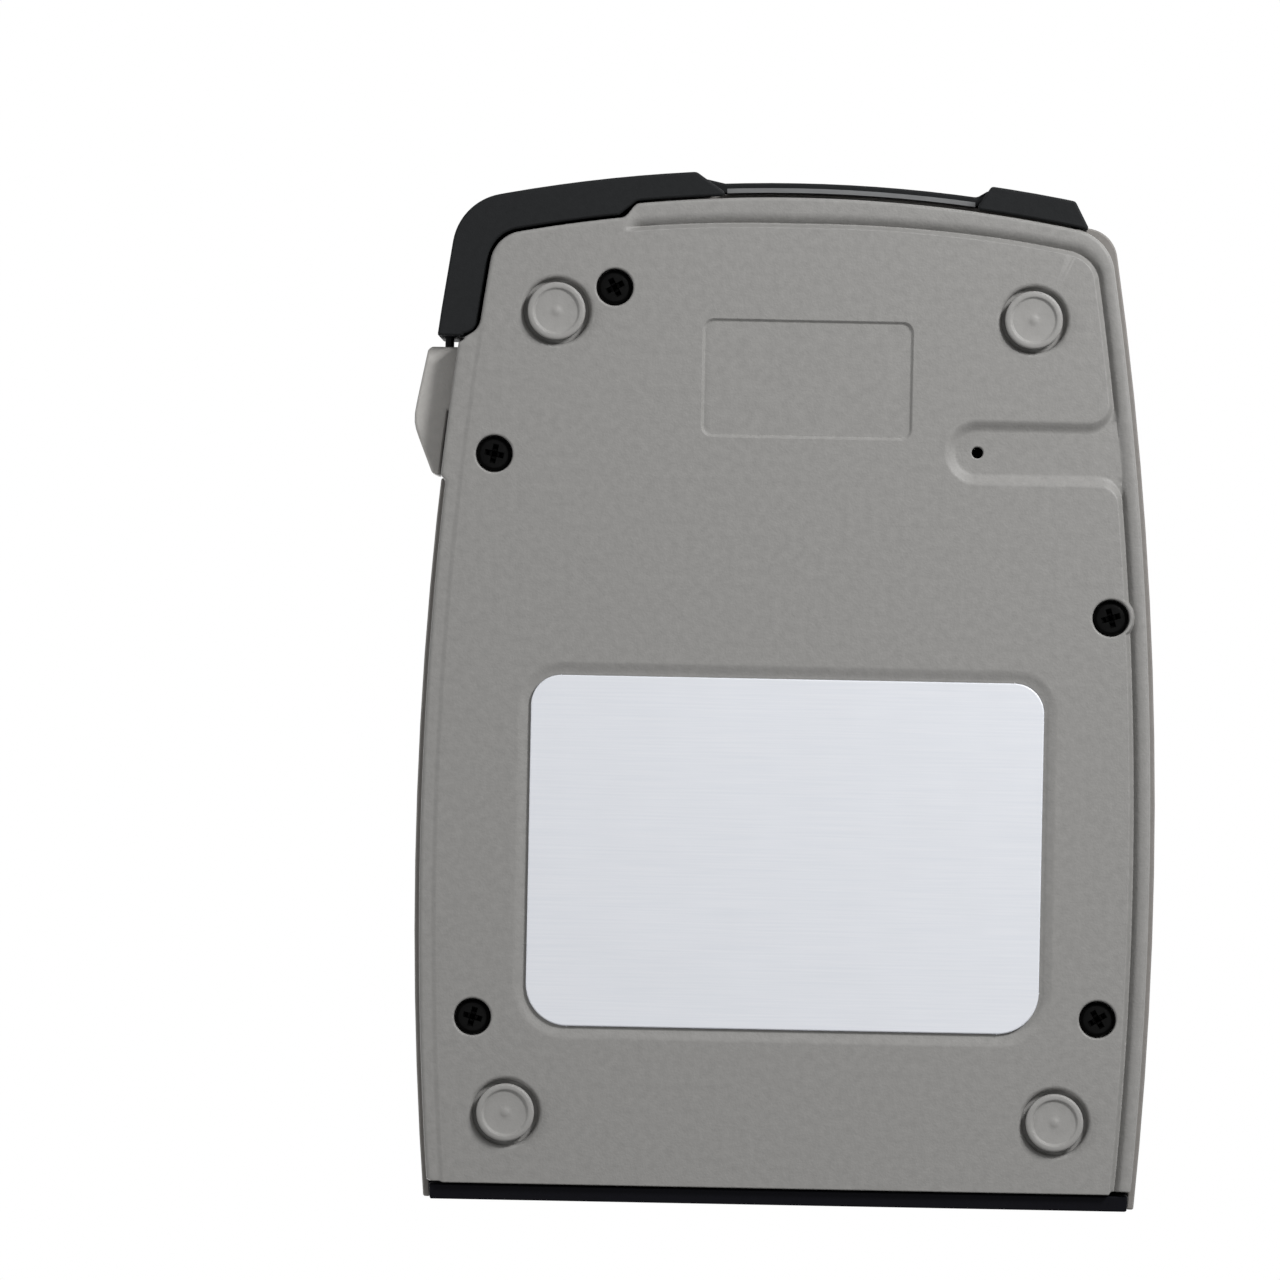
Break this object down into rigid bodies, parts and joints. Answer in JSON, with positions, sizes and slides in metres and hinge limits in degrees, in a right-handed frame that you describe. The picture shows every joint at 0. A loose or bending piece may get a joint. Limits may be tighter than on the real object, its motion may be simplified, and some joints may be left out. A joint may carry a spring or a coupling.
{
  "type": "surface roughness tester",
  "caption": "Flat hand-held case lying on round feet, with a hinged paper door and press catch at one end, display and keys on the other face, for reading surface roughness",
  "frame": {"origin": "middle of the footprint, on the plane of the four feet", "axes": "+Z out of the display, +Y to the printer end, +X to the catch side"},
  "size_m": [0.117, 0.1608, 0.0395],
  "materials": {
    "grey_plastic": "fine satin moulding texture",
    "black_plastic": "matt moulded",
    "key_plastic": "satin",
    "black_screw": "black zinc, half gloss",
    "name_plate": "fine silver film",
    "window": "clear gloss",
    "lcd_glass": "gloss",
    "steel": "plain drawn steel",
    "rubber": "matt",
    "board": "solder mask",
    "chips": "matt",
    "battery_wrap": "shrink film",
    "head_ceramic": "glazed",
    "paper": "smooth paper"
  },
  "bodies": {
    "case": {"back_cover": "grey_plastic", "front_shell": "grey_plastic", "foot_1": "grey_plastic", "foot_2": "grey_plastic", "foot_3": "grey_plastic", "foot_4": "grey_plastic", "front_panel": "black_plastic", "lower_end_panel": "black_plastic", "charge_jack": "black_plastic", "reset_switch": "black_plastic", "buzzer": "black_plastic", "printer_frame": "black_plastic", "case_screws": "black_screw", "name_plate": "name_plate", "display_window": "window", "lcd_panel": "lcd_glass", "lcd_frame": "steel", "board_screws": "steel", "sensor_socket": "steel", "usb_socket": "steel", "battery_bracket": "steel", "bracket_screws": "steel", "head_spring": "steel", "printer_motor": "steel", "tear_bar": "steel", "hinge_pins": "steel", "catch_spring": "steel", "key_mat": "rubber", "main_board": "board", "board_chips": "chips", "battery_pack": "battery_wrap", "print_head": "head_ceramic"},
    "door": {"paper_door": "black_plastic"},
    "catch": {"release_catch": "grey_plastic"},
    "platen": {"platen_roller": "rubber", "platen_shaft": "steel"},
    "roll": {"paper_roll": "paper", "roll_core": "black_plastic"},
    "key_power": {"key_power": "key_plastic"},
    "key_back": {"key_back": "key_plastic"},
    "key_print": {"key_print": "key_plastic"},
    "key_start": {"key_start": "key_plastic"},
    "key_up": {"key_up": "key_plastic"},
    "key_down": {"key_down": "key_plastic"},
    "key_left": {"key_left": "key_plastic"},
    "key_right": {"key_right": "key_plastic"},
    "key_enter": {"key_enter": "key_plastic"}
  },
  "joints": [
    {"name": "door_hinge", "type": "hinge", "parent": "case", "child": "door", "pos_m": [0, 0.04605, 0.034], "axis": [1, 0, 0], "range_deg": [0, 90]},
    {"name": "catch_press", "type": "slide", "parent": "case", "child": "catch", "axis": [-1, 0, 0], "range_m": [0, 0.0012], "stiffness_N_per_m": 1500, "deforming": ["catch_spring"]},
    {"name": "platen_spin", "type": "hinge", "parent": "case", "child": "platen", "pos_m": [-0.0084, 0.07005, 0.025], "axis": [1, 0, 0], "continuous": true},
    {"name": "roll_spin", "type": "hinge", "parent": "case", "child": "roll", "pos_m": [-0.0084, 0.05405, 0.0152], "axis": [1, 0, 0], "continuous": true},
    {"name": "key_power_press", "type": "slide", "parent": "case", "child": "key_power", "axis": [0, 0, -1], "range_m": [0, 0.0008], "stiffness_N_per_m": 600},
    {"name": "key_back_press", "type": "slide", "parent": "case", "child": "key_back", "axis": [0, 0, -1], "range_m": [0, 0.0008], "stiffness_N_per_m": 600},
    {"name": "key_print_press", "type": "slide", "parent": "case", "child": "key_print", "axis": [0, 0, -1], "range_m": [0, 0.0008], "stiffness_N_per_m": 600},
    {"name": "key_start_press", "type": "slide", "parent": "case", "child": "key_start", "axis": [0, 0, -1], "range_m": [0, 0.0008], "stiffness_N_per_m": 600},
    {"name": "key_up_press", "type": "slide", "parent": "case", "child": "key_up", "axis": [0, 0, -1], "range_m": [0, 0.0008], "stiffness_N_per_m": 600},
    {"name": "key_down_press", "type": "slide", "parent": "case", "child": "key_down", "axis": [0, 0, -1], "range_m": [0, 0.0008], "stiffness_N_per_m": 600},
    {"name": "key_left_press", "type": "slide", "parent": "case", "child": "key_left", "axis": [0, 0, -1], "range_m": [0, 0.0008], "stiffness_N_per_m": 600},
    {"name": "key_right_press", "type": "slide", "parent": "case", "child": "key_right", "axis": [0, 0, -1], "range_m": [0, 0.0008], "stiffness_N_per_m": 600},
    {"name": "key_enter_press", "type": "slide", "parent": "case", "child": "key_enter", "axis": [0, 0, -1], "range_m": [0, 0.0008], "stiffness_N_per_m": 600}
  ]
}
